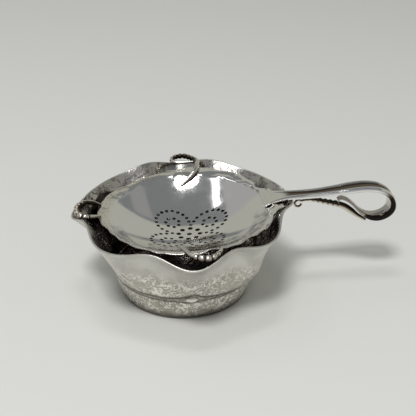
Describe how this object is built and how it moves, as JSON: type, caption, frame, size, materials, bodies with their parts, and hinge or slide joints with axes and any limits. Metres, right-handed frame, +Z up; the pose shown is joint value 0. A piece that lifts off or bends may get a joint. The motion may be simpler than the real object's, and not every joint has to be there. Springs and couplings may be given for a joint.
{
  "type": "tea strainer with drip bowl",
  "caption": "Pierced tea strainer with a coiled strap handle and beaded wire loops, resting in a lobed drip bowl.",
  "frame": {"origin": "centre of the flat underside of the drip bowl", "axes": "+X along the handle, +Y to the back of the bowl, +Z up through the bowl"},
  "size_m": [0.1398, 0.104, 0.0448],
  "materials": {
    "satin_silver": "satin, with planishing marks",
    "polished_silver": "polished",
    "darkened_silver": "polished, dark in the recesses"
  },
  "bodies": {
    "drip_bowl": {"lobed_wall": "satin_silver", "base_cup": "satin_silver", "back_seam_drop": "polished_silver", "front_seam_drop": "polished_silver"},
    "strainer": {"strainer_dish": "polished_silver", "handle_strap": "polished_silver", "tendril_stem": "darkened_silver", "tendril_bead_wire": "darkened_silver", "tendril_curl": "darkened_silver", "left_loop_stem": "polished_silver", "left_loop_bead_wire": "polished_silver", "front_loop_stem": "polished_silver", "front_loop_bead_wire": "polished_silver", "back_loop_stem": "polished_silver", "back_loop_bead_wire": "polished_silver"}
  },
  "joints": [
    {"name": "strainer_lift", "type": "slide", "parent": "drip_bowl", "child": "strainer", "axis": [0, 0, 1], "range_m": [0, 0.07]}
  ]
}
